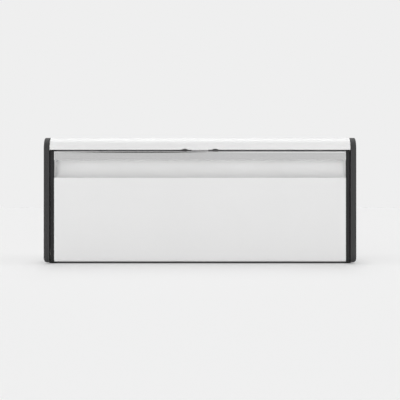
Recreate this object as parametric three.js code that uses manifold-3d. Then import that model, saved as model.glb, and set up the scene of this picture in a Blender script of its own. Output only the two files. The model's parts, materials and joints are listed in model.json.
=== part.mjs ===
// A bread box with a fall front: a steel shell and floor between two moulded side panels,
// closed by a steel door that turns down about two pins near its lower edge.
// Millimetres, +Z up, the front looks along -Y, and the origin is under the middle of the box.
import * as THREE from "three";
import { mergeVertices } from "three/addons/utils/BufferGeometryUtils.js";
import Module from "manifold-3d";

const wasm = await Module();
wasm.setup();

// ---- Driving dimensions ----
const WIDTH = 466.4;
const DEPTH = 250;
const HEIGHT = 189;
const SHEET = 0.8; // steel sheet
const GAP = 0.3; // between pieces that touch
const SIDE = 8.7; // thickness of a side panel
const CLEARANCE_BELOW = 2; // under the side panels, taken up by the feet
const HEAD_PROUD = 1.6; // how far the back screws stand out
const TOP_FRONT_RADIUS = 18;
const TOP_BACK_RADIUS = 12;
const LOW_RADIUS = 8;
const HINGE_BACK = 13; // hinge axis behind the front
const HINGE_UP = 17; // hinge axis above the worktop

// ---- Planes that follow from them ----
const FRONT = -DEPTH / 2;
const BACK = DEPTH / 2 - HEAD_PROUD;
const TOP = HEIGHT;
const BOTTOM = CLEARANCE_BELOW;
const SIDE_OUT = WIDTH / 2;
const SIDE_IN = SIDE_OUT - SIDE;
const HINGE_Y = FRONT + HINGE_BACK;

// Side panel: an outer wall with a rim, and a ledge inside it that carries the shell and the floor
const OUTER_WALL = 2.7;
const RIM = 3;
const EDGE_ROUND = 1.8;
const LEDGE_IN = SIDE_IN - 12;
const LEDGE_INSET = SHEET + GAP;
const LEDGE = 3;
const LEDGE_MID = (LEDGE_IN + SIDE_IN) / 2;
const LEDGE_FRONT = FRONT + 27.1;
const LEDGE_LOW = BOTTOM + LEDGE_INSET;
const STOP = { depth: 4, top: 24 };
const WALL_IN = SIDE_IN + GAP;
const WALL_OUT = WALL_IN + SHEET;
const WALL_INSET = LEDGE_INSET + LEDGE + GAP;
const BOSS_IN = WALL_OUT + GAP;

// Shell: the front hem and the lip behind it that the door closes against
const SHELL_HALF = SIDE_IN - GAP;
const HEM_Z = TOP - 18.8;
const HEM_LIP_Y = FRONT + 18.3;
const HEM_LIP_DROP = 8;
const HEM_LIP_HALF = 214;
const RETURN_DEPTH = 24;

// Floor pan
const PAN_Z = LEDGE_LOW + LEDGE + GAP;
const PAN_FRONT = FRONT + 27.7;
const PAN_BACK = BACK - LEDGE_INSET - LEDGE - GAP;
const FLOOR_SCREW_TOP = PAN_Z + SHEET + 1.2;

// Door, with the channel that the fingers pull on and the lip above it
const DOOR_FACE = FRONT + 0.5;
const DOOR_HALF = 217.5;
const DOOR_LOW = 3.5;
const DOOR_LOW_ROUND = 4;
const DOOR_FLANGE_Y = FRONT + 15.5;
const CHANNEL = { low: 129, high: 156.2, back: FRONT + 22.5, lowRound: 20, highRound: 5 };
const CHEEK_FACE = DOOR_FACE + 3; // front edge of the channel's ends
const LIP_FACE = DOOR_FACE + SHEET + GAP;
const RAIL = { top: 168.7, low: CHANNEL.high - GAP - SHEET, back: FRONT + 16, rear: 160, round: 2.5 };
const RAIL_HALF = DOOR_HALF - SHEET - GAP;
const RAIL_RETURN = 3; // how far the rail turns back under the lip
const CAP_IN = DOOR_HALF + GAP;
const CAP_OUT = CAP_IN + 5.4;
const CAP_TOP = 169.4;
const CAP_BACK = FRONT + 24.5;

// Fasteners, pins and holes, as radii
const SCREW = { shank: 1.4, head: 3, headHeight: 1.5 };
const SCREW_HOLE = 1.8;
const PIN = { shaft: 3, head: 5, headHeight: 2, end: SIDE_OUT - 3 };
const BUSH = { bore: 3.35, outer: 4.7, flange: 6.5, flangeHeight: 0.8 };
const BUSH_HOLE = 5.05;

// Where the repeated pieces sit
const WALL_SCREWS = [
  ["front", FRONT + 60, 160],
  ["rear", BACK - 35, 160],
  ["lower", 0, 35],
];
const DOOR_SCREWS = [
  ["lower", 45],
  ["upper", 108],
];
const DOOR_SCREW_Y = FRONT + 7.5;
const BACK_SCREWS = [
  ["lower", 60],
  ["upper", 150],
];
const FLOOR_SCREWS = [
  ["front", FRONT + 62, LEDGE_LOW],
  ["rear", BACK - 12, BOTTOM],
];
const FEET = [
  ["front", FRONT + 34],
  ["rear", BACK - 34],
];
const FOOT = { x: 222.2, width: 12.6, length: 26, height: BOTTOM - GAP, stem: 3 };
const BUMPER = { x: 150, z: 166 };
const CATCH = { half: 12.4, thickness: 0.5, rivetX: 7.5, rivetY: FRONT + 14 };
const NOTCH = { x: 22.8, radius: 8, rise: 1.7, depth: 11 };
const VENTS = { groups: [-105, 105], count: 6, pitch: 11, width: 4, height: 24, z: 150 };

const STEEL_SEGMENTS = 16;
const HOLE_SEGMENTS = 16;
const PIN_SEGMENTS = 24;

// ---- Materials ----
const lacquer = new THREE.MeshStandardMaterial({ color: 0xf1f1f0, roughness: 0.35, metalness: 0 });
const darkPlastic = new THREE.MeshStandardMaterial({ color: 0x2c2d2e, roughness: 0.5, metalness: 0 });
const steel = new THREE.MeshStandardMaterial({ color: 0xc4c5c6, roughness: 0.3, metalness: 1 });
const rubber = new THREE.MeshStandardMaterial({ color: 0x1b1b1b, roughness: 0.9, metalness: 0 });
const acetal = new THREE.MeshStandardMaterial({ color: 0xe6e4dc, roughness: 0.5, metalness: 0 });
const zinc = new THREE.MeshStandardMaterial({ color: 0xaeb0b2, roughness: 0.35, metalness: 1 });

// ---- Solids ----
const X = new THREE.Vector3(1, 0, 0);
const Y = new THREE.Vector3(0, 1, 0);
const Z = new THREE.Vector3(0, 0, 1);
const SIDE_VIEW = new THREE.Matrix4().makeBasis(Y, Z, X); // a drawing in (y, z), drawn out along +X
const FRONT_VIEW = new THREE.Matrix4().makeBasis(X.clone().negate(), Z, Y); // in (-x, z), along +Y

function toSolid(geometry) {
  const bare = new THREE.BufferGeometry().setAttribute("position", geometry.getAttribute("position"));
  if (geometry.index) bare.setIndex(geometry.index);
  const merged = mergeVertices(bare, 1e-4);
  return new wasm.Manifold(
    new wasm.Mesh({
      numProp: 3,
      vertProperties: merged.attributes.position.array,
      triVerts: new Uint32Array(merged.index.array),
    }),
  );
}

function toGeometry(solid) {
  const mesh = solid.getMesh();
  return new THREE.BufferGeometry()
    .setAttribute("position", new THREE.BufferAttribute(mesh.vertProperties, 3))
    .setIndex(new THREE.BufferAttribute(mesh.triVerts, 1));
}

function join(...geometries) {
  return toGeometry(geometries.map(toSolid).reduce((a, b) => a.add(b)));
}

function cut(geometry, ...tools) {
  return toGeometry(tools.map(toSolid).reduce((a, b) => a.subtract(b), toSolid(geometry)));
}

function box(x0, x1, y0, y1, z0, z1) {
  const middle = [(x0 + x1) / 2, (y0 + y1) / 2, (z0 + z1) / 2];
  return new THREE.BoxGeometry(x1 - x0, y1 - y0, z1 - z0).translate(...middle);
}

// The points of a path through corners [y, z, radius], with an arc at each corner that has a radius.
function rounded(corners, closed = false) {
  return corners.flatMap(([y, z, radius = 0], i) => {
    const corner = new THREE.Vector2(y, z);
    const before = corners[i - 1] ?? (closed && corners.at(-1));
    const after = corners[i + 1] ?? (closed && corners[0]);
    if (!radius || !before || !after) return [corner];
    const from = new THREE.Vector2(...before).sub(corner).normalize();
    const to = new THREE.Vector2(...after).sub(corner).normalize();
    const half = Math.acos(from.dot(to)) / 2;
    const centre = from.clone().add(to).setLength(radius / Math.sin(half)).add(corner);
    const start = from.clone().multiplyScalar(radius / Math.tan(half)).add(corner);
    const sweep = (Math.PI - 2 * half) * -Math.sign(from.cross(to));
    const steps = Math.max(2, Math.ceil(Math.abs(sweep) * Math.sqrt(radius) * 1.2));
    const turns = Array.from({ length: steps + 1 }, (_, k) => (sweep * k) / steps);
    return turns.map((turn) => start.clone().rotateAround(centre, turn));
  });
}

// A flat shape, drawn in the side view and drawn out along X.
function prism(points, x0, x1) {
  const settings = { depth: x1 - x0, bevelEnabled: false };
  const solid = new THREE.ExtrudeGeometry(new THREE.Shape(points), settings);
  return solid.applyMatrix4(SIDE_VIEW).translate(x0, 0, 0);
}

// A bent sheet whose outer face follows the path, with its thickness to the right of the path.
function bentSheet(corners, x0, x1, thickness = SHEET) {
  const path = rounded(corners);
  const right = path.slice(1).map((p, i) => {
    const d = p.clone().sub(path[i]).normalize();
    return new THREE.Vector2(d.y, -d.x);
  });
  const inner = path.map((p, i) => {
    const a = right[Math.max(i - 1, 0)];
    const b = right[Math.min(i, right.length - 1)];
    return a.clone().add(b).multiplyScalar(thickness / (1 + a.dot(b))).add(p);
  });
  return prism([...path, ...inner.reverse()], x0, x1);
}

// A turned piece: profile [radius, distance along the axis] from one end to the other.
function turned(profile, axis, at, segments = STEEL_SEGMENTS) {
  const points = profile.map(([r, h]) => new THREE.Vector2(r, h));
  const turn = new THREE.Quaternion().setFromUnitVectors(Y, axis);
  return new THREE.LatheGeometry(points, segments).applyQuaternion(turn).translate(...at);
}

function rod(radius, axis, from, length, segments = HOLE_SEGMENTS) {
  const profile = [[0, 0], [radius, 0], [radius, length], [0, length]];
  return turned(profile, axis, from, segments);
}

// A pan head screw: at is where its head meets the piece it holds, and its shank runs along the axis.
function screw(axis, at, length, headHeight = SCREW.headHeight) {
  const round = headHeight * 0.45;
  const profile = [
    [0, -headHeight],
    [SCREW.head - round, -headHeight],
    [SCREW.head, -headHeight + round],
    [SCREW.head, 0],
    [SCREW.shank, 0],
    [SCREW.shank, length - 1],
    [SCREW.shank * 0.4, length],
    [0, length],
  ];
  return turned(profile, axis, at, 12);
}

// A tube turned about X, with a flange at its far end.
function flangedBush() {
  const length = CAP_OUT + GAP - CAP_IN + 0.2;
  const end = length + BUSH.flangeHeight;
  const profile = [
    [BUSH.bore, 0],
    [BUSH.outer, 0],
    [BUSH.outer, length],
    [BUSH.flange, length],
    [BUSH.flange, end],
    [BUSH.bore, end],
    [BUSH.bore, 0],
  ];
  return turned(profile, X, [CAP_IN - 0.2, HINGE_Y, HINGE_UP], PIN_SEGMENTS);
}

// ---- Body ----
// The side panel's outline, drawn in by an inset.
function sideOutline(inset) {
  return rounded(
    [
      [FRONT + inset, BOTTOM + inset, LOW_RADIUS - inset],
      [FRONT + inset, TOP - inset, TOP_FRONT_RADIUS - inset],
      [BACK - inset, TOP - inset, TOP_BACK_RADIUS - inset],
      [BACK - inset, BOTTOM + inset, LOW_RADIUS - inset],
    ],
    true,
  );
}

function sidePanel() {
  const round = new THREE.ExtrudeGeometry(new THREE.Shape(sideOutline(0)), {
    depth: SIDE,
    bevelThickness: EDGE_ROUND,
    bevelSize: EDGE_ROUND,
    bevelOffset: -EDGE_ROUND,
    bevelSegments: 2,
  });
  round.applyMatrix4(SIDE_VIEW).translate(SIDE_OUT - EDGE_ROUND - SIDE, 0, 0);
  const block = cut(round, box(0, SIDE_IN, FRONT - 1, BACK + 1, 0, TOP + 1));
  const tray = cut(block, prism(sideOutline(RIM), SIDE_IN - 1, SIDE_OUT - OUTER_WALL));
  const ledge = cut(
    prism(sideOutline(LEDGE_INSET), LEDGE_IN, SIDE_IN + 1.5),
    prism(sideOutline(LEDGE_INSET + LEDGE), LEDGE_IN - 1, SIDE_OUT),
    box(0, SIDE_OUT, FRONT, LEDGE_FRONT, 0, TOP),
  );
  const stop = box(LEDGE_IN, SIDE_IN, LEDGE_FRONT, LEDGE_FRONT + STOP.depth, LEDGE_LOW, STOP.top);
  const wallEnd = SIDE_OUT - OUTER_WALL;
  const bosses = WALL_SCREWS.map(([, y, z]) => rod(4, X, [BOSS_IN, y, z], wallEnd - BOSS_IN + 1));
  const bossHoles = WALL_SCREWS.map(([, y, z]) => rod(SCREW_HOLE, X, [SIDE_IN, y, z], wallEnd - SIDE_IN));
  const hingeBoss = rod(7.5, X, [BOSS_IN, HINGE_Y, HINGE_UP], wallEnd - BOSS_IN + 1, PIN_SEGMENTS);
  const hingeHole = rod(BUSH.bore, X, [SIDE_IN, HINGE_Y, HINGE_UP], wallEnd - SIDE_IN, PIN_SEGMENTS);
  const backHoles = BACK_SCREWS.map(([, z]) => rod(SCREW_HOLE, Y, [LEDGE_MID, BACK - 10, z], 12));
  const floorHoles = FLOOR_SCREWS.map(([, y]) => rod(SCREW_HOLE, Z, [LEDGE_MID, y, 1], 9));
  const footHoles = FEET.map(([, y]) => rod(FOOT.stem + 0.4, Z, [LEDGE_MID, y, 1], 9));
  return cut(
    join(tray, ledge, stop, hingeBoss, ...bosses),
    hingeHole,
    ...bossHoles,
    ...backHoles,
    ...floorHoles,
    ...footHoles,
  );
}

function sideWall() {
  return cut(
    prism(sideOutline(WALL_INSET), WALL_IN, WALL_OUT),
    rod(BUSH.bore + 0.3, X, [WALL_IN - 1, HINGE_Y, HINGE_UP], 3, PIN_SEGMENTS),
    ...WALL_SCREWS.map(([, y, z]) => rod(SCREW_HOLE, X, [WALL_IN - 1, y, z], 3)),
  );
}

// One slot of the vents, through the back.
function ventSlot(x) {
  const r = VENTS.width / 2;
  const straight = VENTS.height / 2 - r;
  const slot = new THREE.Shape()
    .absarc(0, straight, r, 0, Math.PI)
    .absarc(0, -straight, r, Math.PI, 2 * Math.PI);
  return new THREE.ExtrudeGeometry(slot, { depth: 4, bevelEnabled: false, curveSegments: 3 })
    .applyMatrix4(FRONT_VIEW)
    .translate(x, BACK - 2, VENTS.z);
}

function shell() {
  const sheet = bentSheet(
    [
      [HEM_LIP_Y, HEM_Z - HEM_LIP_DROP],
      [HEM_LIP_Y, HEM_Z, 1],
      [FRONT, HEM_Z],
      [FRONT, TOP, TOP_FRONT_RADIUS],
      [BACK, TOP, TOP_BACK_RADIUS],
      [BACK, BOTTOM, LOW_RADIUS],
      [BACK - RETURN_DEPTH, BOTTOM],
    ],
    -SHELL_HALF,
    SHELL_HALF,
  );
  const lipY = [HEM_LIP_Y - 1.2, HEM_LIP_Y + 3];
  const lipZ = [HEM_Z - HEM_LIP_DROP - 1, HEM_Z + 2];
  const lipEnds = [-1, 1].map((side) => {
    const ends = [side * HEM_LIP_HALF, side * WIDTH].sort((a, b) => a - b);
    return box(...ends, ...lipY, ...lipZ);
  });
  const openingHalf = CATCH.half + 0.4;
  const catchOpening = box(-openingHalf, openingHalf, FRONT + 1.2, FRONT + 11, HEM_Z - 1, HEM_Z + 2);
  const notches = [-1, 1].map((side) => {
    const z = HEM_Z + NOTCH.rise - NOTCH.radius;
    return rod(NOTCH.radius, Y, [side * NOTCH.x, FRONT - 1, z], 1 + NOTCH.depth, 48);
  });
  const rivetHoles = [-1, 1].map((side) => rod(1.5, Z, [side * CATCH.rivetX, CATCH.rivetY, HEM_Z - 1], 3));
  const bumperHoles = [-1, 1].map((side) => rod(1.7, Y, [side * BUMPER.x, HEM_LIP_Y - 1, BUMPER.z], 3));
  const backHoles = BACK_SCREWS.flatMap(([, z]) =>
    [-1, 1].map((side) => rod(SCREW_HOLE, Y, [side * LEDGE_MID, BACK - 2, z], 4)),
  );
  const [, rearY] = FLOOR_SCREWS[1];
  const floorHoles = [-1, 1].map((side) => rod(SCREW_HOLE, Z, [side * LEDGE_MID, rearY, 1], 5));
  const vents = VENTS.groups.flatMap((middle) =>
    Array.from({ length: VENTS.count }, (_, i) =>
      ventSlot(middle + (i - (VENTS.count - 1) / 2) * VENTS.pitch),
    ),
  );
  return cut(
    sheet,
    ...lipEnds,
    catchOpening,
    ...notches,
    ...rivetHoles,
    ...bumperHoles,
    ...backHoles,
    ...floorHoles,
    ...vents,
  );
}

function floorPan() {
  const sheet = bentSheet(
    [
      [PAN_BACK, PAN_Z + 12],
      [PAN_BACK, PAN_Z, 4],
      [PAN_FRONT, PAN_Z, 2],
      [PAN_FRONT, PAN_Z + 8],
    ],
    -SHELL_HALF,
    SHELL_HALF,
  );
  const corners = [-1, 1].map((side) => {
    const ends = [side * (LEDGE_IN - GAP), side * WIDTH].sort((a, b) => a - b);
    return box(...ends, FRONT, LEDGE_FRONT + STOP.depth + GAP, 0, 40);
  });
  const holes = FLOOR_SCREWS.flatMap(([, y]) =>
    [-1, 1].map((side) => rod(SCREW_HOLE, Z, [side * LEDGE_MID, y, PAN_Z - 1], 4)),
  );
  return cut(sheet, ...corners, ...holes);
}

function foot() {
  const r = FOOT.width / 2;
  const straight = FOOT.length / 2 - r;
  const pad = new THREE.Shape()
    .absarc(0, straight, r, 0, Math.PI)
    .absarc(0, -straight, r, Math.PI, 2 * Math.PI);
  const settings = { depth: FOOT.height, bevelEnabled: false, curveSegments: 5 };
  const body = new THREE.ExtrudeGeometry(pad, settings);
  const stem = rod(FOOT.stem, Z, [LEDGE_MID - FOOT.x, 0, 1], LEDGE_LOW + LEDGE - 1.2);
  return join(body, stem);
}

function catchLeaf() {
  const leaf = bentSheet(
    [
      [FRONT + 16.8, HEM_Z + SHEET + GAP],
      [FRONT + 9, HEM_Z + SHEET + GAP, 1.5],
      [FRONT + 5.8, RAIL.top + 0.4, 1.2],
      [FRONT + 2.1, RAIL.top + 0.4, 0.7],
      [FRONT + 1.7, HEM_Z + 1.2],
    ],
    -CATCH.half,
    CATCH.half,
    CATCH.thickness,
  );
  return cut(leaf, ...[-1, 1].map((side) => rod(1.5, Z, [side * CATCH.rivetX, CATCH.rivetY, HEM_Z], 3)));
}

function catchRivet() {
  const low = HEM_Z - GAP;
  const high = HEM_Z + SHEET + CATCH.thickness + 2 * GAP;
  const profile = [
    [0, low - 0.7],
    [2.2, low - 0.7],
    [2.2, low],
    [1.2, low],
    [1.2, high],
    [2.2, high],
    [1.6, high + 0.7],
    [0, high + 0.7],
  ];
  return turned(profile, Z, [CATCH.rivetX, CATCH.rivetY, 0], 12);
}

function doorBumper() {
  const face = RAIL.back - HEM_LIP_Y + 0.5;
  const profile = [
    [0, face],
    [3, face],
    [3.5, face + 0.5],
    [3.5, -GAP],
    [1.3, -GAP],
    [1.3, SHEET + GAP],
    [2, SHEET + GAP + 0.2],
    [1, SHEET + GAP + 1.6],
    [0, SHEET + GAP + 1.6],
  ];
  return turned(profile, Y, [BUMPER.x, HEM_LIP_Y, BUMPER.z]);
}

function hingePin() {
  const start = CAP_IN - 0.5;
  const profile = [
    [0, -PIN.headHeight],
    [PIN.head - 0.7, -PIN.headHeight],
    [PIN.head, -PIN.headHeight + 0.7],
    [PIN.head, 0],
    [PIN.shaft, 0],
    [PIN.shaft, PIN.end - start],
    [0, PIN.end - start],
  ];
  return turned(profile, X, [start, HINGE_Y, HINGE_UP], PIN_SEGMENTS);
}

// ---- Door ----
function doorPanel() {
  const sheet = bentSheet(
    [
      [DOOR_FLANGE_Y, DOOR_LOW],
      [DOOR_FACE, DOOR_LOW, DOOR_LOW_ROUND],
      [DOOR_FACE, CHANNEL.low, 1.5],
      [CHANNEL.back, CHANNEL.low, CHANNEL.lowRound],
      [CHANNEL.back, CHANNEL.high, CHANNEL.highRound],
      [LIP_FACE, CHANNEL.high, 1],
      [LIP_FACE, RAIL.top - SHEET - GAP, RAIL.round - 1],
      [RAIL.back - SHEET - GAP, RAIL.top - SHEET - GAP],
    ],
    -DOOR_HALF,
    DOOR_HALF,
  );
  // Each end is closed by a plate: a flange behind the flat face, the end of the channel and of the lip.
  const endOutline = rounded(
    [
      [DOOR_FACE, 28],
      [DOOR_FACE, CHANNEL.low - 1.5],
      [CHEEK_FACE, CHANNEL.low + 2, 1.5],
      [CHEEK_FACE, RAIL.low - 1.5, 2],
      [DOOR_FACE, RAIL.low],
      [DOOR_FACE, RAIL.top, RAIL.round],
      [RAIL.back, RAIL.top, 1],
      [RAIL.back, CHANNEL.high + 0.4],
      [CHANNEL.back + 0.4, CHANNEL.high + 0.4, 5],
      [CHANNEL.back + 0.4, CHANNEL.low - 0.4, 10],
      [FRONT + 12, CHANNEL.low - 7, 4],
      [FRONT + 12, 28, 3],
    ],
    true,
  );
  const ends = [-1, 1].map((side) => {
    const plate = prism(endOutline, 0, SHEET).translate(side > 0 ? DOOR_HALF - SHEET : -DOOR_HALF, 0, 0);
    const holeX = side * DOOR_HALF - 2;
    return cut(plate, ...DOOR_SCREWS.map(([, z]) => rod(SCREW_HOLE, X, [holeX, DOOR_SCREW_Y, z], 4)));
  });
  return join(sheet, ...ends);
}

function gripRail() {
  return bentSheet(
    [
      [DOOR_FACE + RAIL_RETURN, RAIL.low],
      [DOOR_FACE, RAIL.low, 1.2],
      [DOOR_FACE, RAIL.top, RAIL.round],
      [RAIL.back, RAIL.top, 1],
      [RAIL.back, RAIL.rear],
    ],
    -RAIL_HALF,
    RAIL_HALF,
  );
}

function doorEndCap() {
  const low = DOOR_LOW - 0.2;
  const outline = rounded(
    [
      [DOOR_FACE, low, DOOR_LOW_ROUND + 0.5],
      [DOOR_FACE, CAP_TOP, 1.5],
      [CAP_BACK, CAP_TOP, 4],
      [CAP_BACK, CHANNEL.low - 6, 6],
      [FRONT + 15, CHANNEL.low - 17, 8],
      [FRONT + 15, 40, 8],
      [CAP_BACK, 29, 6],
      [CAP_BACK, low, 11],
    ],
    true,
  );
  return cut(
    prism(outline, CAP_IN, CAP_OUT),
    rod(BUSH_HOLE, X, [CAP_IN - 1, HINGE_Y, HINGE_UP], CAP_OUT - CAP_IN + 2, PIN_SEGMENTS),
    ...DOOR_SCREWS.map(([, z]) => rod(SCREW_HOLE, X, [CAP_IN - 1, DOOR_SCREW_Y, z], 6)),
  );
}

// ---- Assembly ----
const breadBox = new THREE.Group();
const mirrored = new THREE.Group();
mirrored.scale.x = -1;
breadBox.add(mirrored);

function place(name, geometry, material, position = [0, 0, 0]) {
  const mesh = new THREE.Mesh(geometry, material);
  mesh.name = name;
  mesh.position.set(...position);
  breadBox.add(mesh);
}

// A piece of the right-hand side, and its mirror image on the left.
function placePair(name, geometry, material, position = [0, 0, 0]) {
  place(`right_${name}`, geometry, material, position);
  const left = new THREE.Mesh(geometry, material);
  left.name = `left_${name}`;
  left.position.set(...position);
  mirrored.add(left);
}

place("top_back_shell", shell(), lacquer);
place("floor_pan", floorPan(), lacquer);
placePair("side_panel", sidePanel(), darkPlastic);
placePair("side_wall", sideWall(), lacquer);
place("catch_leaf", catchLeaf(), steel);
placePair("catch_rivet", catchRivet(), zinc);
placePair("door_bumper", doorBumper(), rubber);
placePair("hinge_pin", hingePin(), zinc);
for (const [end, y] of FEET) placePair(`${end}_foot`, foot(), rubber, [FOOT.x, y, 0]);
for (const [end, y, z] of FLOOR_SCREWS) {
  const under = z - GAP;
  placePair(`${end}_floor_screw`, screw(Z, [LEDGE_MID, y, under], FLOOR_SCREW_TOP - under), zinc);
}
for (const [level, z] of BACK_SCREWS) {
  const head = HEAD_PROUD - GAP;
  const forward = Y.clone().negate();
  placePair(`${level}_back_screw`, screw(forward, [LEDGE_MID, BACK + GAP, z], 8, head), zinc);
}
for (const [spot, y, z] of WALL_SCREWS) {
  placePair(`${spot}_wall_screw`, screw(X, [WALL_IN - GAP, y, z], 4.6), zinc);
}

place("door_panel", doorPanel(), lacquer);
place("grip_rail", gripRail(), steel);
placePair("door_end_cap", doorEndCap(), darkPlastic);
placePair("hinge_bush", flangedBush(), acetal);
for (const [level, z] of DOOR_SCREWS) {
  const inner = DOOR_HALF - SHEET - GAP;
  placePair(`${level}_door_screw`, screw(X, [inner, DOOR_SCREW_Y, z], 6), zinc);
}

export default breadBox;
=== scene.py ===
"""A white fall-front bread box between dark moulded side panels, in a plain soft studio."""

import json
import math

import bmesh
import bpy
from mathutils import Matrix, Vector


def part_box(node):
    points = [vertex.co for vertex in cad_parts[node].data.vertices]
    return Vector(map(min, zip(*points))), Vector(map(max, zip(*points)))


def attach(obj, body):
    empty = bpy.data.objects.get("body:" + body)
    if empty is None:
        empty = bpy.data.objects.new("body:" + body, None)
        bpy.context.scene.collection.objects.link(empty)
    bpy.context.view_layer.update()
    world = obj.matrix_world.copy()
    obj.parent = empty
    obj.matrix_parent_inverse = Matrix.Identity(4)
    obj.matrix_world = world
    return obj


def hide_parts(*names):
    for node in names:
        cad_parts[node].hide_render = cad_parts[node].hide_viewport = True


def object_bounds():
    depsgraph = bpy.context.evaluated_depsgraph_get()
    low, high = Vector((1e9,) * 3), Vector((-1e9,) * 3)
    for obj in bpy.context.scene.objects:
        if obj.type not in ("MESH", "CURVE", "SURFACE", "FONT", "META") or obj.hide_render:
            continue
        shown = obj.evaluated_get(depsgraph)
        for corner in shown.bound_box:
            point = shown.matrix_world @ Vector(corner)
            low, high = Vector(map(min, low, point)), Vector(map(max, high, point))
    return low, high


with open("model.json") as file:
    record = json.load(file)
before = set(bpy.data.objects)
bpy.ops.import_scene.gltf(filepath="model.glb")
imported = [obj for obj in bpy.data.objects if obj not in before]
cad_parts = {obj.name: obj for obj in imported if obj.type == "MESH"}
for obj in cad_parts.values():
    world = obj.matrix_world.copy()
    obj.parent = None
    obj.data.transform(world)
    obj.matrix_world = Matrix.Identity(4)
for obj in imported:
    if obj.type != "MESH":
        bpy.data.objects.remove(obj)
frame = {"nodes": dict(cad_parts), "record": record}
cad_low, cad_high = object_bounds()

MM = 0.001
SIDES = (-1, 1)
HANDS = {-1: "left", 1: "right"}

# ---- Dimensions of the looks, in mm ----
# x, z, low, high and top are places in the frame; the rest are sizes and distances from a CAD node
SHEET = 0.8
GAP = 0.3  # between pieces that touch
EDGE = 0.22  # radius on the edge of a sheet
TOP_FRONT_RADIUS = 18
TOP_BACK_RADIUS = 12
LOW_RADIUS = 8
ARC_STEPS = 14

# Shell: the front hem below the top, with a flange going back from it and a lip down behind that
HEM = {"drop": 18.8, "corner": 0.95, "flange": 18.3, "lip": 8, "lip_half": 214}
RETURN_DEPTH = 24  # under the rear of the box
NOTCH = {"x": 22.8, "radius": 8, "rise": 1.7, "depth": 11}
LEAF_SLOT = {"front": 2.3, "back": 11}  # in the flange, behind the hem's face
VENTS = {"x": 105, "z": 150, "count": 6, "pitch": 11, "radius": 2, "half_straight": 10}

# Side panels: a face with a rim that turns inwards, and a ledge and a stop for the shell, floor and door
PANEL = {"thickness": 8.7, "wall": 2.7, "rim": 3, "round": 1.8, "low_round": 4}
LEDGE = {"thickness": 3, "front": 27.1, "reach": 12, "root": 1.5}
STOP = {"depth": 4, "top": 24}

# Door: the foot's flange, the finger channel and its closed ends, the rail and the end caps
DOOR_FOOT = 15
DOOR_LOW_ROUND = 4
CHANNEL = {"low": 129, "high": 156.2, "depth": 22, "low_radius": 20, "high_radius": 5}
CHEEK = {"setback": 3, "margin": 0.4}  # behind the face, and outside the channel's section
SIDE_FLANGE = {"depth": 11.5, "low": 28, "high": 122}
RAIL_ROUND = 3
RAIL_BACK_LOW = 160
CAP_WAIST = {"depth": 14.5, "low": 40, "high": 112, "slope": 11}  # where an end cap is less deep

# Small parts: radii and lengths
SCREW = {"head": 3, "head_height": 1.5, "back_head_height": 1.3, "shank": 1.4, "core": 1.1, "pitch": 0.7}
RECESS = {"reach": 1.75, "width": 0.8, "depth": 0.95}
STEM = {"radius": 3, "tip": 2.6}
PIN = {"head": 5, "head_height": 2, "shaft": 3}
BUSH = {"bore": 3.35, "sleeve": 4.7, "flange": 6.5, "flange_height": 0.8}
RIVET = {"head": 2.2, "head_height": 0.7, "shaft": 1.2}
BUMPER = {"head": 3.5, "neck": 1.3, "barb": 2, "barb_height": 1.6}
LEAF = {"thickness": 0.5, "clearance": 0.4, "gap": 1.5, "hole": 1.5}


# ---- Shapes ----
def node_box(node):
    """The lowest and highest corner of a CAD node in mm."""
    low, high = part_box(node)
    return low / MM, high / MM


def rounded(corners, closed=False, steps=ARC_STEPS):
    """The points of a path through corners (y, z, radius), with an arc at each that has a radius."""
    points = []
    for i, (y, z, *rest) in enumerate(corners):
        radius = rest[0] if rest else 0
        corner = Vector((y, z))
        at_end = not closed and i in (0, len(corners) - 1)
        if not radius or at_end:
            points.append(corner)
            continue
        before = Vector(corners[i - 1][:2])
        after = Vector(corners[(i + 1) % len(corners)][:2])
        start = (before - corner).normalized()
        end = (after - corner).normalized()
        half = math.acos(max(-1, min(1, start.dot(end)))) / 2
        centre = corner + (start + end).normalized() * (radius / math.sin(half))
        first = corner + start * (radius / math.tan(half))
        turn = start.x * end.y - start.y * end.x
        sweep = (math.pi - 2 * half) * (-1 if turn > 0 else 1)
        arm = first - centre
        for k in range(steps + 1):
            angle = sweep * k / steps
            cos, sin = math.cos(angle), math.sin(angle)
            points.append(centre + Vector((arm.x * cos - arm.y * sin, arm.x * sin + arm.y * cos)))
    return points


def offset(path, distance):
    """The path moved to its right by a distance."""
    right = []
    for a, b in zip(path, path[1:]):
        along = (b - a).normalized()
        right.append(Vector((along.y, -along.x)))
    moved = []
    for i, point in enumerate(path):
        a = right[max(i - 1, 0)]
        b = right[min(i, len(right) - 1)]
        moved.append(point + (a + b) * (distance / (1 + a.dot(b))))
    return moved


def new_object(name, vertices, faces):
    mesh = bpy.data.meshes.new(name)
    mesh.from_pydata([Vector(v) * MM for v in vertices], [], faces)
    bm = bmesh.new()
    bm.from_mesh(mesh)
    bmesh.ops.recalc_face_normals(bm, faces=bm.faces)
    bm.to_mesh(mesh)
    bm.free()
    obj = bpy.data.objects.new(name, mesh)
    bpy.context.scene.collection.objects.link(obj)
    return obj


def loft(name, rings, closed_loop=False):
    """A surface through closed rings of points, capped at its ends or joined into a loop."""
    count = len(rings[0])
    vertices = [p for ring in rings for p in ring]
    faces = []
    for r in range(len(rings) if closed_loop else len(rings) - 1):
        a = r * count
        b = (r + 1) % len(rings) * count
        for i in range(count):
            j = (i + 1) % count
            faces.append((a + i, a + j, b + j, b + i))
    if not closed_loop:
        faces.append(tuple(reversed(range(count))))
        faces.append(tuple(range((len(rings) - 1) * count, len(rings) * count)))
    return new_object(name, vertices, faces)


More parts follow.
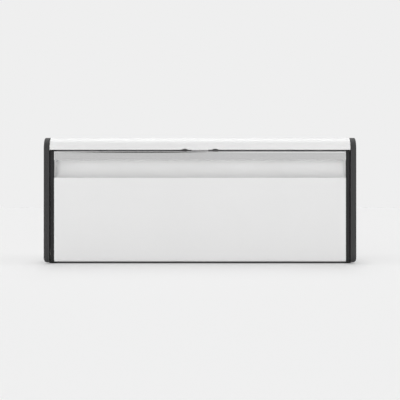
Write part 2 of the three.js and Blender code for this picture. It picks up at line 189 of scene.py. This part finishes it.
def bent_sheet(name, corners, x0, x1, thickness=SHEET):
    """A bent sheet with its outer face on the path, drawn out along X."""
    path = rounded(corners)
    section = path + offset(path, thickness)[::-1]
    vertices = [(x, p.x, p.y) for x in (x0, x1) for p in section]
    size = len(section)
    faces = []
    for i in range(size):
        j = (i + 1) % size
        faces.append((i, j, size + j, size + i))
    for end in (0, size):
        for i in range(len(path) - 1):
            faces.append((end + i, end + i + 1, end + size - 2 - i, end + size - 1 - i))
    return new_object(name, vertices, faces)


def prism(name, outline, x0, x1):
    return loft(name, [[(x, p.x, p.y) for p in outline] for x in (x0, x1)])


def frame_axes(axis):
    """The axis and two directions square to it, each of length 1."""
    axis = Vector(axis).normalized()
    side = Vector((0, 0, 1)) if abs(axis.z) < 0.9 else Vector((1, 0, 0))
    u = axis.cross(side).normalized()
    return axis, u, axis.cross(u)


def turned(name, profile, axis, at, segments=48):
    """A turned piece: profile (radius, distance along the axis), from one end to the other."""
    axis, u, v = frame_axes(axis)
    rings = []
    for radius, along in profile:
        ring = []
        for i in range(segments):
            angle = 2 * math.pi * i / segments
            out = u * math.cos(angle) + v * math.sin(angle)
            ring.append(Vector(at) + axis * along + out * max(radius, 0.001))
        rings.append(ring)
    hollow = profile[0] == profile[-1]
    return loft(name, rings[:-1] if hollow else rings, closed_loop=hollow)


def box_mesh(name, low, high):
    x, y, z = zip(low, high)
    vertices = [(a, b, c) for a in x for b in y for c in z]
    faces = [(0, 1, 3, 2), (4, 6, 7, 5), (0, 4, 5, 1), (2, 3, 7, 6), (0, 2, 6, 4), (1, 5, 7, 3)]
    return new_object(name, vertices, faces)


def apply_modifiers(obj):
    depsgraph = bpy.context.evaluated_depsgraph_get()
    mesh = bpy.data.meshes.new_from_object(obj.evaluated_get(depsgraph))
    obj.modifiers.clear()
    obj.data = mesh


def boolean(obj, tools, operation="DIFFERENCE"):
    """Cuts the tools out of obj, or joins them to it, and clears them away."""
    for tool in tools:
        modifier = obj.modifiers.new("boolean", "BOOLEAN")
        modifier.operation = operation
        modifier.solver = "EXACT"
        modifier.object = tool
    apply_modifiers(obj)
    for tool in tools:
        bpy.data.objects.remove(tool)


def merge(obj, others):
    """Puts the other meshes into obj as they stand."""
    bm = bmesh.new()
    bm.from_mesh(obj.data)
    for other in others:
        bm.from_mesh(other.data)
        bpy.data.objects.remove(other)
    bm.to_mesh(obj.data)
    bm.free()


def soften(obj, width=EDGE, segments=2, angle=40):
    """Rounds the sharp edges a little and shades the rest smooth."""
    for polygon in obj.data.polygons:
        polygon.use_smooth = True
    bevel = obj.modifiers.new("edges", "BEVEL")
    bevel.width = width * MM
    bevel.segments = segments
    bevel.limit_method = "ANGLE"
    bevel.angle_limit = math.radians(angle)
    bevel.use_clamp_overlap = True
    bevel.harden_normals = False
    normals = obj.modifiers.new("normals", "WEIGHTED_NORMAL")
    normals.keep_sharp = True
    normals.weight = 100


# ---- Materials ----
NOISE_LOW, NOISE_HIGH = 0.3, 0.7  # most of a noise lies between these


class Look:
    """A Principled material with object coordinates and a few helpers for its nodes."""

    def __init__(self, name, **constants):
        self.material = bpy.data.materials.new(name)
        self.material.use_nodes = True
        self.nodes = self.material.node_tree.nodes
        self.links = self.material.node_tree.links
        self.shader = self.nodes["Principled BSDF"]
        for socket, value in constants.items():
            self.shader.inputs[socket.replace("_", " ")].default_value = value
        self.coordinates = self.nodes.new("ShaderNodeTexCoord").outputs["Object"]

    def noise(self, scale, detail, stretch=(1, 1, 1), roughness=0.5):
        mapping = self.nodes.new("ShaderNodeMapping")
        mapping.inputs["Scale"].default_value = stretch
        noise = self.nodes.new("ShaderNodeTexNoise")
        noise.inputs["Scale"].default_value = scale
        noise.inputs["Detail"].default_value = detail
        noise.inputs["Roughness"].default_value = roughness
        self.links.new(self.coordinates, mapping.inputs["Vector"])
        self.links.new(mapping.outputs["Vector"], noise.inputs["Vector"])
        return noise.outputs["Fac"]

    def vector(self, operation, a, b=None):
        node = self.nodes.new("ShaderNodeVectorMath")
        node.operation = operation
        self.links.new(a, node.inputs[0])
        if b:
            node.inputs[1].default_value = b
        return node.outputs["Value" if operation == "LENGTH" else "Vector"]

    def spread(self, value, low, high, start=NOISE_LOW, end=NOISE_HIGH, kind="LINEAR"):
        """Value from start to end becomes low to high."""
        node = self.nodes.new("ShaderNodeMapRange")
        node.interpolation_type = kind
        node.inputs["From Min"].default_value = start
        node.inputs["From Max"].default_value = end
        node.inputs["To Min"].default_value = low
        node.inputs["To Max"].default_value = high
        self.links.new(value, node.inputs["Value"])
        return node.outputs["Result"]

    def combine(self, operation, a, b):
        node = self.nodes.new("ShaderNodeMath")
        node.operation = operation
        self.links.new(a, node.inputs[0])
        self.links.new(b, node.inputs[1])
        return node.outputs["Value"]

    def colour(self, value, low, high):
        ramp = self.nodes.new("ShaderNodeValToRGB")
        ramp.color_ramp.elements[0].position = NOISE_LOW
        ramp.color_ramp.elements[0].color = (*low, 1)
        ramp.color_ramp.elements[1].position = NOISE_HIGH
        ramp.color_ramp.elements[1].color = (*high, 1)
        self.links.new(value, ramp.inputs["Fac"])
        self.links.new(ramp.outputs["Color"], self.shader.inputs["Base Color"])

    def rough(self, value):
        self.links.new(value, self.shader.inputs["Roughness"])

    def bump(self, height, distance, strength):
        node = self.nodes.new("ShaderNodeBump")
        node.inputs["Strength"].default_value = strength
        node.inputs["Distance"].default_value = distance * MM
        self.links.new(height, node.inputs["Height"])
        self.links.new(node.outputs["Normal"], self.shader.inputs["Normal"])


def lacquer_look():
    look = Look("white_lacquer", Coat_Weight=0.35, Coat_Roughness=0.12)
    look.colour(look.noise(9, 4), (0.888, 0.888, 0.886), (0.905, 0.905, 0.903))
    smudges = look.spread(look.noise(26, 5, roughness=0.6), 0.3, 0.4)
    look.rough(look.combine("ADD", smudges, look.spread(look.noise(900, 2), -0.02, 0.02)))
    look.bump(look.noise(520, 2), 0.006, 0.5)
    return look.material


def plastic_look(name, shade, specular):
    look = Look(name, Specular_IOR_Level=specular)
    low, high = [(value, value, value * 1.02) for value in (shade - 0.003, shade + 0.003)]
    look.colour(look.noise(30, 5), low, high)
    look.rough(look.spread(look.noise(60, 6, roughness=0.65), 0.42, 0.56))
    look.bump(look.noise(2200, 3, roughness=0.6), 0.03, 0.45)
    return look.material


def brushed_look():
    look = Look("brushed_steel", Metallic=1.0, Anisotropic=0.4)
    streaks = look.noise(14, 5, stretch=(1, 260, 260), roughness=0.7)
    look.colour(streaks, (0.66, 0.66, 0.662), (0.78, 0.78, 0.78))
    look.rough(look.spread(streaks, 0.10, 0.17))
    look.bump(streaks, 0.01, 0.35)
    return look.material


def zinc_look():
    look = Look("zinc_plate", Metallic=1.0)
    look.colour(look.noise(300, 4), (0.50, 0.51, 0.52), (0.60, 0.60, 0.60))
    look.rough(look.spread(look.noise(700, 4), 0.26, 0.42))
    look.bump(look.noise(1500, 3), 0.01, 0.3)
    return look.material


def rubber_look():
    look = Look("black_rubber")
    look.colour(look.noise(120, 5), (0.017, 0.017, 0.018), (0.026, 0.026, 0.026))
    look.rough(look.spread(look.noise(250, 4), 0.75, 0.92))
    look.bump(look.noise(1800, 3), 0.04, 0.4)
    return look.material


def acetal_look():
    look = Look("acetal")
    look.colour(look.noise(200, 4), (0.73, 0.72, 0.68), (0.78, 0.77, 0.74))
    look.rough(look.spread(look.noise(300, 4), 0.38, 0.5))
    look.bump(look.noise(1500, 2), 0.01, 0.3)
    return look.material


LOOKS = {
    "lacquered_steel": lacquer_look(),
    "dark_plastic": plastic_look("dark_plastic", 0.028, 0.5),
    "brushed_steel": brushed_look(),
    "zinc_steel": zinc_look(),
    "rubber": rubber_look(),
    "acetal": acetal_look(),
}
CAP_PLASTIC = plastic_look("cap_plastic", 0.014, 0.3)  # the end caps are darker than the side panels


def finish_piece(obj, slot, body, *nodes):
    """Gives a piece its look and its body, and hides the CAD nodes it stands for."""
    obj.data.materials.clear()
    obj.data.materials.append(LOOKS[slot])
    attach(obj, body)
    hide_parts(*nodes)


# ---- Shell ----
def shell():
    low, high = node_box("top_back_shell")
    leaf_low, leaf_high = node_box("catch_leaf")
    front, back = low.y, high.y
    hem_z = high.z - HEM["drop"]
    lip_y = front + HEM["flange"]
    corners = [
        (lip_y, hem_z - HEM["lip"]),
        (lip_y, hem_z, 1),
        (front, hem_z, HEM["corner"]),
        (front, high.z, TOP_FRONT_RADIUS - 0.2),  # a little less, so that the hem's two bends don't meet
        (back, high.z, TOP_BACK_RADIUS),
        (back, low.z, LOW_RADIUS),
        (back - RETURN_DEPTH, low.z),
    ]
    obj = bent_sheet("shell", corners, low.x, high.x)
    tools = []
    for side in SIDES:
        x0, x1 = sorted((side * HEM["lip_half"], side * (high.x + 20)))
        tools.append(box_mesh("cut", (x0, lip_y - 1.2, hem_z - 10), (x1, lip_y + 3, hem_z + 2)))
        tools.append(notch_rod(side, front, hem_z))
    slot_low = (leaf_low.x - LEAF["clearance"], front + LEAF_SLOT["front"], hem_z - 1)
    slot_high = (leaf_high.x + LEAF["clearance"], front + LEAF_SLOT["back"], hem_z + 2)
    tools.append(box_mesh("cut", slot_low, slot_high))
    for side in SIDES:
        for i in range(VENTS["count"]):
            place = i - (VENTS["count"] - 1) / 2
            tools.append(vent_slot(side * VENTS["x"] + place * VENTS["pitch"], back))
    boolean(obj, tools)
    soften(obj)
    finish_piece(obj, "lacquered_steel", "body", "top_back_shell")


def notch_rod(side, front, hem_z):
    """The rod that cuts a half-moon notch into the hem's lower edge."""
    radius = NOTCH["radius"]
    centre = (side * NOTCH["x"], front - 1, hem_z + NOTCH["rise"] - radius)
    return turned("cut", [(radius, 0), (radius, 1 + NOTCH["depth"])], (0, 1, 0), centre, 160)


def vent_slot(x, back):
    radius = VENTS["radius"]
    outline = []
    for centre, first in ((VENTS["half_straight"], 0), (-VENTS["half_straight"], math.pi)):
        for k in range(13):
            angle = first + math.pi * k / 12
            outline.append((radius * math.cos(angle), centre + radius * math.sin(angle)))
    rings = [[(x + a, y, VENTS["z"] + b) for a, b in outline] for y in (back - 2, back + 2)]
    return loft("cut", rings)


# ---- Side panels ----
def side_outline(inset, y0, y1, z0, z1):
    return rounded(
        [
            (y0 + inset, z0 + inset, LOW_RADIUS - inset),
            (y0 + inset, z1 - inset, TOP_FRONT_RADIUS - inset),
            (y1 - inset, z1 - inset, TOP_BACK_RADIUS - inset),
            (y1 - inset, z0 + inset, LOW_RADIUS - inset),
        ],
        closed=True,
    )


def side_panel(side):
    name = f"{HANDS[side]}_side_panel"
    low, high = node_box(name)
    outer = max(high.x, -low.x)
    inner = outer - PANEL["thickness"]
    limits = (low.y, high.y, low.z, high.z)
    outline = side_outline(0, *limits)
    inner_outline = side_outline(PANEL["rim"], *limits)
    rounds = []
    for p in outline:
        share = max(0, 1 - (p.y - low.z) / LOW_RADIUS)
        rounds.append(PANEL["round"] + share * (PANEL["low_round"] - PANEL["round"]))

    def ring(x, inset):
        return [(side * x, p.x, p.y) for p in side_outline(inset, *limits)]

    def round_ring(angle):
        """A ring on the rounded edge, from the side of the rim (0) to the face (a right angle)."""
        points = []
        for p, inner_p, radius in zip(outline, inner_outline, rounds):
            at = p.lerp(inner_p, radius * (1 - math.cos(angle)) / PANEL["rim"])
            points.append((side * (outer - radius + radius * math.sin(angle)), at.x, at.y))
        return points

    # From the inside of the face, over the rim's end with its small chamfer, to the rounded edge outside
    rings = [
        ring(outer - PANEL["wall"], PANEL["rim"]),
        ring(inner, PANEL["rim"]),
        ring(inner, PANEL["rim"] - 0.01),
        ring(inner, 0.4),
        ring(inner + 0.12, 0.12),
        ring(inner + 0.4, 0),
    ]
    steps = 8
    rings += [round_ring(math.pi / 2 * k / steps) for k in range(steps + 1)]
    rings.append(ring(outer, PANEL["low_round"] + 2))
    cover = loft(name, rings)
    merge(cover, panel_ledge(side, inner, limits))
    soften(cover, 0.25)
    finish_piece(cover, "dark_plastic", "body", name)


def panel_ledge(side, inner, limits):
    """The ledge inside a side panel that carries the shell and the floor, and the door's stop on it."""
    y0, y1, z0, z1 = limits
    front = y0 + LEDGE["front"]
    edge = SHEET + GAP
    reach_x = side * (inner - LEDGE["reach"])
    ledge = bent_sheet(
        "ledge",
        [
            (front, z1 - edge),
            (y1 - edge, z1 - edge, TOP_BACK_RADIUS - edge),
            (y1 - edge, z0 + edge, LOW_RADIUS - edge),
            (front, z0 + edge),
        ],
        *sorted((reach_x, side * (inner + LEDGE["root"]))),
        LEDGE["thickness"],
    )
    x0, x1 = sorted((reach_x, side * inner))
    stop = box_mesh("stop", (x0, front, z0 + edge), (x1, front + STOP["depth"], STOP["top"]))
    return [ledge, stop]


# ---- Door ----
def door_panel():
    low, high = node_box("door_panel")
    rail_low, rail_high = node_box("grip_rail")
    face, half = low.y, high.x
    lip_face = face + SHEET + GAP
    lip_top = rail_high.z - SHEET - GAP
    channel_back = face + CHANNEL["depth"]
    sheet = bent_sheet(
        "door",
        [
            (face + DOOR_FOOT, low.z),
            (face, low.z, DOOR_LOW_ROUND),
            (face, CHANNEL["low"], 1.5),
            (channel_back, CHANNEL["low"], CHANNEL["low_radius"]),
            (channel_back, CHANNEL["high"], CHANNEL["high_radius"]),
            (lip_face, CHANNEL["high"], 0.95),
            (lip_face, lip_top, RAIL_ROUND - 1),
            (rail_high.y - SHEET - GAP, lip_top),
        ],
        -half,
        half,
    )
    outline = door_end_outline(face, rail_low, rail_high)
    ends = []
    for side in SIDES:
        x0, x1 = sorted((side * half, side * (half - SHEET)))
        ends.append(prism("end", outline, x0, x1))
    boolean(sheet, ends, "UNION")
    soften(sheet)
    finish_piece(sheet, "lacquered_steel", "door", "door_panel")


def door_end_outline(face, rail_low, rail_high):
    """An end of the door: a flange up its side, and above it the cheek that closes the channel."""
    cheek = face + CHEEK["setback"]
    low = CHANNEL["low"] - CHEEK["margin"]
    high = CHANNEL["high"] + CHEEK["margin"]
    deep = face + CHANNEL["depth"] + CHEEK["margin"]
    flange = face + SIDE_FLANGE["depth"]
    return rounded(
        [
            (face, SIDE_FLANGE["low"]),
            (face, CHANNEL["low"] - 1.5),
            (cheek, CHANNEL["low"] + 2, 1.5),
            (cheek, rail_low.z - 1.5, 2),
            (face, rail_low.z),
            (face, rail_high.z, RAIL_ROUND),
            (rail_high.y, rail_high.z, 1),
            (rail_high.y, high),
            (deep, high, 5),
            (deep, low, 10),
            (flange, SIDE_FLANGE["high"], 4),
            (flange, SIDE_FLANGE["low"], 3),
        ],
        closed=True,
    )


def grip_rail():
    low, high = node_box("grip_rail")
    obj = bent_sheet(
        "rail",
        [
            (low.y + 3, low.z),
            (low.y, low.z, 1.2),
            (low.y, high.z, RAIL_ROUND),
            (high.y, high.z, 1.2),
            (high.y, RAIL_BACK_LOW),
        ],
        low.x,
        high.x,
    )
    soften(obj, 0.18)
    finish_piece(obj, "brushed_steel", "door", "grip_rail")


def end_cap(side):
    name = f"{HANDS[side]}_door_end_cap"
    low, high = node_box(name)
    waist = low.y + CAP_WAIST["depth"]
    outline = rounded(
        [
            (low.y, low.z, DOOR_LOW_ROUND + 0.5),
            (low.y, high.z, 1.5),
            (high.y, high.z, 4),
            (high.y, CAP_WAIST["high"] + CAP_WAIST["slope"], 6),
            (waist, CAP_WAIST["high"], 8),
            (waist, CAP_WAIST["low"], 8),
            (high.y, CAP_WAIST["low"] - CAP_WAIST["slope"], 6),
            (high.y, low.z, 11),
        ],
        closed=True,
        steps=10,
    )
    obj = prism(name, outline, low.x, high.x)
    soften(obj, 0.35, 3)
    finish_piece(obj, "dark_plastic", "door", name)
    obj.data.materials[0] = CAP_PLASTIC


# ---- Small parts ----
def plus_cutter(axis, at, reach, width, depth):
    """The cross recess of a screw head."""
    axis, u, v = frame_axes(axis)
    w = width / 2
    quarter = [(reach, w), (w, w), (w, reach)]
    outline = []
    for turn in range(4):
        for a, b in quarter:
            for _ in range(turn):
                a, b = -b, a
            outline.append((a, b))
    rings = []
    for along, scale in ((-0.5, 1.1), (depth, 0.65)):
        rings.append([Vector(at) + axis * along + (u * a + v * b) * scale for a, b in outline])
    return loft("cut", rings)


def near_end(name, axis):
    """The middle of a node's near end, and the node's length along the axis."""
    low, high = node_box(name)
    at = (low + high) / 2
    i = max(range(3), key=lambda k: abs(axis[k]))
    at[i] = low[i] if axis[i] > 0 else high[i]
    return at, high[i] - low[i]


def screw(name, axis, body):
    """A pan head screw: its head is at the near end of its node, and its shank runs along the axis."""
    axis = Vector(axis)
    at, length = near_end(name, axis)
    under = SCREW["back_head_height" if axis.y else "head_height"]
    head, shank, core = SCREW["head"], SCREW["shank"], SCREW["core"]
    profile = [(0, 0), (1.4, 0.05), (2.2, 0.22), (2.75, 0.6), (head, 1), (head, under), (shank, under)]
    threads = int((length - under - 1) / SCREW["pitch"])
    for k in range(threads):
        z = under + k * SCREW["pitch"]
        profile += [(core, z + 0.1), (core, z + 0.3), (shank, z + 0.5), (shank, z + 0.6)]
    profile += [(core, length - 0.9), (0.3, length)]
    obj = turned(name, profile, axis, at, 36)
    boolean(obj, [plus_cutter(axis, at, RECESS["reach"], RECESS["width"], RECESS["depth"])])
    soften(obj, 0.06, 2, 45)
    finish_piece(obj, "zinc_steel", body, name)


def foot(name):
    """A rubber pad with rounded ends, pressed into the side panel by its stem."""
    low, high = node_box(name)
    panel_low, _ = node_box("left_side_panel")
    top = panel_low.z - GAP
    middle = (low + high) / 2
    radius = (high.x - low.x) / 2
    straight = (high.y - low.y) / 2 - radius
    rings = []
    for inset, z in ((0.7, 0), (0.25, 0.2), (0, 0.6), (0, top - 0.3), (0.2, top)):
        reach = radius - inset
        ring = []
        for centre, first in ((straight, 0), (-straight, math.pi)):
            for k in range(17):
                angle = first + math.pi * k / 16
                y = middle.y + centre + reach * math.sin(angle)
                ring.append((middle.x + reach * math.cos(angle), y, z))
        rings.append(ring)
    obj = loft(name, rings)
    boolean(obj, [foot_stem(middle, high.z)], "UNION")
    soften(obj, 0.1, 2, 50)
    finish_piece(obj, "rubber", "body", name)


def foot_stem(middle, top):
    """A foot's stem, in line with the floor screws."""
    screw_low, screw_high = node_box("right_front_floor_screw")
    x = (screw_low.x + screw_high.x) / 2
    at = (x if middle.x > 0 else -x, middle.y, 0)
    profile = [(STEM["radius"], 1), (STEM["radius"], top - 0.4), (STEM["tip"], top)]
    return turned("stem", profile, (0, 0, 1), at, 32)


def turned_piece(name, profile, axis, slot, body, edge=0.12, segments=48):
    """A turned piece that starts at the near end of its node."""
    at, length = near_end(name, axis)
    obj = turned(name, profile(length), axis, at, segments)
    soften(obj, edge, 2, 40)
    finish_piece(obj, slot, body, name)


def pin_profile(length):
    head, under, shaft = PIN["head"], PIN["head_height"], PIN["shaft"]
    return [
        (0, 0),
        (3.9, 0.05),
        (4.6, 0.35),
        (head, 0.9),
        (head, under),
        (shaft, under),
        (shaft, length - 0.5),
        (2.5, length),
        (0, length),
    ]


def bush_profile(length):
    bore, sleeve = BUSH["bore"], BUSH["sleeve"]
    flange = length - BUSH["flange_height"]
    return [
        (bore, 0),
        (sleeve, 0),
        (sleeve, flange),
        (BUSH["flange"], flange),
        (BUSH["flange"], length),
        (bore, length),
        (bore, 0),
    ]


def rivet_profile(length):
    head, under, shaft = RIVET["head"], RIVET["head_height"], RIVET["shaft"]
    top = length - under
    return [
        (0, 0),
        (1.3, 0.1),
        (2, 0.4),
        (head, under),
        (shaft, under),
        (shaft, top),
        (head, top),
        (1.7, top + 0.5),
        (0, length),
    ]


def bumper_profile(length):
    """A rubber button whose neck goes through the shell's lip and ends in a barb."""
    head, neck = BUMPER["head"], BUMPER["neck"]
    lip = length - BUMPER["barb_height"] - SHEET - GAP
    return [
        (0, 0),
        (2.6, 0),
        (3.3, 0.25),
        (head, 0.7),
        (head, lip - GAP),
        (neck, lip - GAP),
        (neck, lip + SHEET + GAP),
        (BUMPER["barb"], lip + SHEET + GAP + 0.2),
        (1, length),
        (0, length),
    ]


def catch_leaf():
    """A sprung leaf riveted over the hem's flange, which dips through it towards the rail."""
    low, high = node_box("catch_leaf")
    rivet_low, rivet_high = node_box("right_catch_rivet")
    rail_low, rail_high = node_box("grip_rail")
    front = rail_low.y - 0.5
    sprung = rail_high.z + LEAF["clearance"]
    flat = rail_high.z + LEAF["gap"] + SHEET + GAP
    obj = bent_sheet(
        "catch_leaf",
        [
            (high.y, flat),
            (front + 9, flat, 1.5),
            (front + 5.8, sprung, 1.2),
            (front + 2.1, sprung, 0.7),
            (front + 1.7, sprung + 2.4),
        ],
        low.x,
        high.x,
        LEAF["thickness"],
    )
    middle = (rivet_low + rivet_high) / 2
    holes = []
    for side in SIDES:
        at = (side * middle.x, middle.y, flat - 3)
        holes.append(turned("cut", [(LEAF["hole"], 0), (LEAF["hole"], 6)], (0, 0, 1), at))
    boolean(obj, holes)
    soften(obj, 0.1)
    finish_piece(obj, "brushed_steel", "body", "catch_leaf")


def small_parts():
    catch_leaf()
    for side in SIDES:
        hand = HANDS[side]
        outward = (side, 0, 0)
        for end in ("front", "rear"):
            foot(f"{hand}_{end}_foot")
            screw(f"{hand}_{end}_floor_screw", (0, 0, 1), "body")
        for level in ("lower", "upper"):
            screw(f"{hand}_{level}_back_screw", (0, -1, 0), "body")
            screw(f"{hand}_{level}_door_screw", outward, "door")
        for spot in ("front", "rear", "lower"):
            screw(f"{hand}_{spot}_wall_screw", outward, "body")
        turned_piece(f"{hand}_hinge_pin", pin_profile, outward, "zinc_steel", "body")
        turned_piece(f"{hand}_hinge_bush", bush_profile, outward, "acetal", "door")
        turned_piece(f"{hand}_catch_rivet", rivet_profile, (0, 0, 1), "zinc_steel", "body", 0.05, 32)
        turned_piece(f"{hand}_door_bumper", bumper_profile, (0, 1, 0), "rubber", "body", 0.1, 40)


def carry_over():
    """CAD nodes that keep their own mesh get a look and softened edges."""
    slots = {row["node"]: row["material_slot"] for row in frame["record"]["subparts"]}
    for name, obj in frame["nodes"].items():
        if obj.hide_render:
            continue
        obj.data.materials.clear()
        obj.data.materials.append(LOOKS[slots[name]])
        soften(obj, 0.12, 2, 50)


# ---- Stage ----
AMBIENT = 0.3  # light from everywhere
BACKGROUND = 0.863
BACKDROP_RADIUS = 12  # in metres, well inside the table's edges
TABLE_ALBEDO = 0.55
# The table's own light, masked into a painted shadow: none of it under the box, and less close in front
# and behind. Each painted shade starts this far inside the box's sides and front, reaches this far out
# from there, and is this many times narrower at the sides.
TABLE_GLOW = {"near": 0.28, "far": 0.333}
UNDER_SHADE = {"side": 6, "front": 29, "reach": 8, "narrower": 2}
NEAR_SHADE = {"side": 40, "front": 29, "reach": 400, "narrower": 10}
# Lamps at the front, and in an arch overhead from front to back: elevation and energy of each
FRONT_LIGHTS = {"angle": 40, "azimuth": -12, "lamps": [(4, 0.26), (24, 0.12)]}
TOP_LIGHTS = {
    "angle": 20,
    "azimuth": 0,
    "lamps": [(80, 0.10), (95, 0.16), (110, 0.17), (125, 0.14), (140, 0.10)],
}
# Cards that show only as reflections: brightness and corners
CARDS = {
    "softbox": (2.0, [(-1500, -60, 1500), (1500, -60, 1500), (1500, 510, 1500), (-1500, 510, 1500)]),
    "front_card": (0.73, [(-900, -1330, 60), (900, -1330, 60), (900, -1330, 330), (-900, -1330, 330)]),
    "left_flag": (0.0, [(-330, -1325, 300), (-10, -1325, 300), (-20, -1325, 2300), (-320, -1325, 2300)]),
    "right_card": (1.0, [(60, -1325, 400), (900, -1325, 400), (900, -1325, 1500), (60, -1325, 1500)]),
}
# The camera looks level at the front, and its place is in metres
CAMERA = {"place": (0, -1.725, 0.0954), "sensor": 36, "lens": 96.62}


def lamp(name, energy, angle, elevation, azimuth):
    """A large soft light from far off; azimuth 0 is the front and 90 the right."""
    data = bpy.data.lights.new(name, "SUN")
    data.energy = energy * math.pi
    data.angle = math.radians(angle)
    obj = bpy.data.objects.new(name, data)
    e, a = math.radians(elevation), math.radians(azimuth)
    towards = Vector((math.cos(e) * math.sin(a), -math.cos(e) * math.cos(a), math.sin(e)))
    obj.rotation_euler = towards.to_track_quat("Z", "Y").to_euler()
    obj.visible_glossy = False
    bpy.context.scene.collection.objects.link(obj)


def glow(name, value):
    material = bpy.data.materials.new(name)
    material.use_nodes = True
    nodes = material.node_tree.nodes
    nodes.clear()
    emission = nodes.new("ShaderNodeEmission")
    emission.inputs["Color"].default_value = (value, value, value, 1)
    output = nodes.new("ShaderNodeOutputMaterial")
    material.node_tree.links.new(emission.outputs["Emission"], output.inputs["Surface"])
    return material


def only_seen_by(obj, camera=False, glossy=False):
    obj.visible_camera = camera
    obj.visible_glossy = glossy
    obj.visible_diffuse = False
    obj.visible_transmission = False
    obj.visible_shadow = False


def card(name, corners, value):
    """A flat card that shows only as a reflection."""
    obj = new_object(name, corners, [(0, 1, 2, 3)])
    obj.data.materials.append(glow(name, value))
    only_seen_by(obj, glossy=True)


def painted_table_shadow(look, shade, low, high):
    """A painted shadow on the table: a value that goes from low, inside the box's outline, to high
    outside it.
    """
    place = look.vector("ABSOLUTE", look.coordinates)
    dark = (cad_high.x - shade["side"] * MM, cad_high.y - shade["front"] * MM, 1)
    outside = look.vector("MAXIMUM", look.vector("SUBTRACT", place, dark), (0, 0, 0))
    distance = look.vector("LENGTH", look.vector("MULTIPLY", outside, (shade["narrower"], 1, 1)))
    return look.spread(distance, low, high, 0, shade["reach"] * MM, "SMOOTHSTEP")


def table_look():
    """A pale surface that glows a little; its glow is masked into a painted shadow under the box and
    dimmed close around it.
    """
    look = Look("table", Roughness=1.0, Specular_IOR_Level=0.0)
    look.shader.inputs["Base Color"].default_value = (TABLE_ALBEDO, TABLE_ALBEDO, TABLE_ALBEDO, 1)
    look.shader.inputs["Emission Color"].default_value = (1, 1, 1, 1)
    # Painted shadow: the table's glow is cut off under the box and dimmed close in front of and behind
    # it
    lit = painted_table_shadow(look, UNDER_SHADE, 0, 1)
    level = painted_table_shadow(look, NEAR_SHADE, TABLE_GLOW["near"], TABLE_GLOW["far"])
    look.links.new(look.combine("MULTIPLY", lit, level), look.shader.inputs["Emission Strength"])
    return look.material


def studio():
    world = bpy.data.worlds.new("studio")
    world.use_nodes = True
    world.node_tree.nodes["Background"].inputs["Color"].default_value = (AMBIENT, AMBIENT, AMBIENT, 1)
    bpy.context.scene.world = world
    far = 20000
    corners = [(-far, -far, 0), (far, -far, 0), (far, far, 0), (-far, far, 0)]
    table = new_object("table", corners, [(0, 1, 2, 3)])
    table.data.materials.append(table_look())
    bpy.ops.mesh.primitive_uv_sphere_add(segments=64, ring_count=32, radius=BACKDROP_RADIUS)
    backdrop = bpy.context.object
    backdrop.name = "backdrop"
    backdrop.data.materials.append(glow("backdrop", BACKGROUND))
    only_seen_by(backdrop, camera=True, glossy=True)
    for name, row in (("front_light", FRONT_LIGHTS), ("top_light", TOP_LIGHTS)):
        for elevation, energy in row["lamps"]:
            lamp(f"{name}_{elevation}", energy, row["angle"], elevation, row["azimuth"])
    for name, (brightness, corners) in CARDS.items():
        card(name, corners, brightness)


def camera():
    data = bpy.data.cameras.new("camera")
    data.sensor_width = CAMERA["sensor"]
    data.lens = CAMERA["lens"]
    data.clip_end = 100
    obj = bpy.data.objects.new("camera", data)
    obj.location = CAMERA["place"]
    obj.rotation_euler = (math.radians(90), 0, 0)
    bpy.context.scene.collection.objects.link(obj)
    bpy.context.scene.camera = obj


shell()
door_panel()
grip_rail()
for side in SIDES:
    side_panel(side)
    end_cap(side)
small_parts()
carry_over()
studio()
camera()
bpy.context.scene.view_settings.view_transform = "Standard"
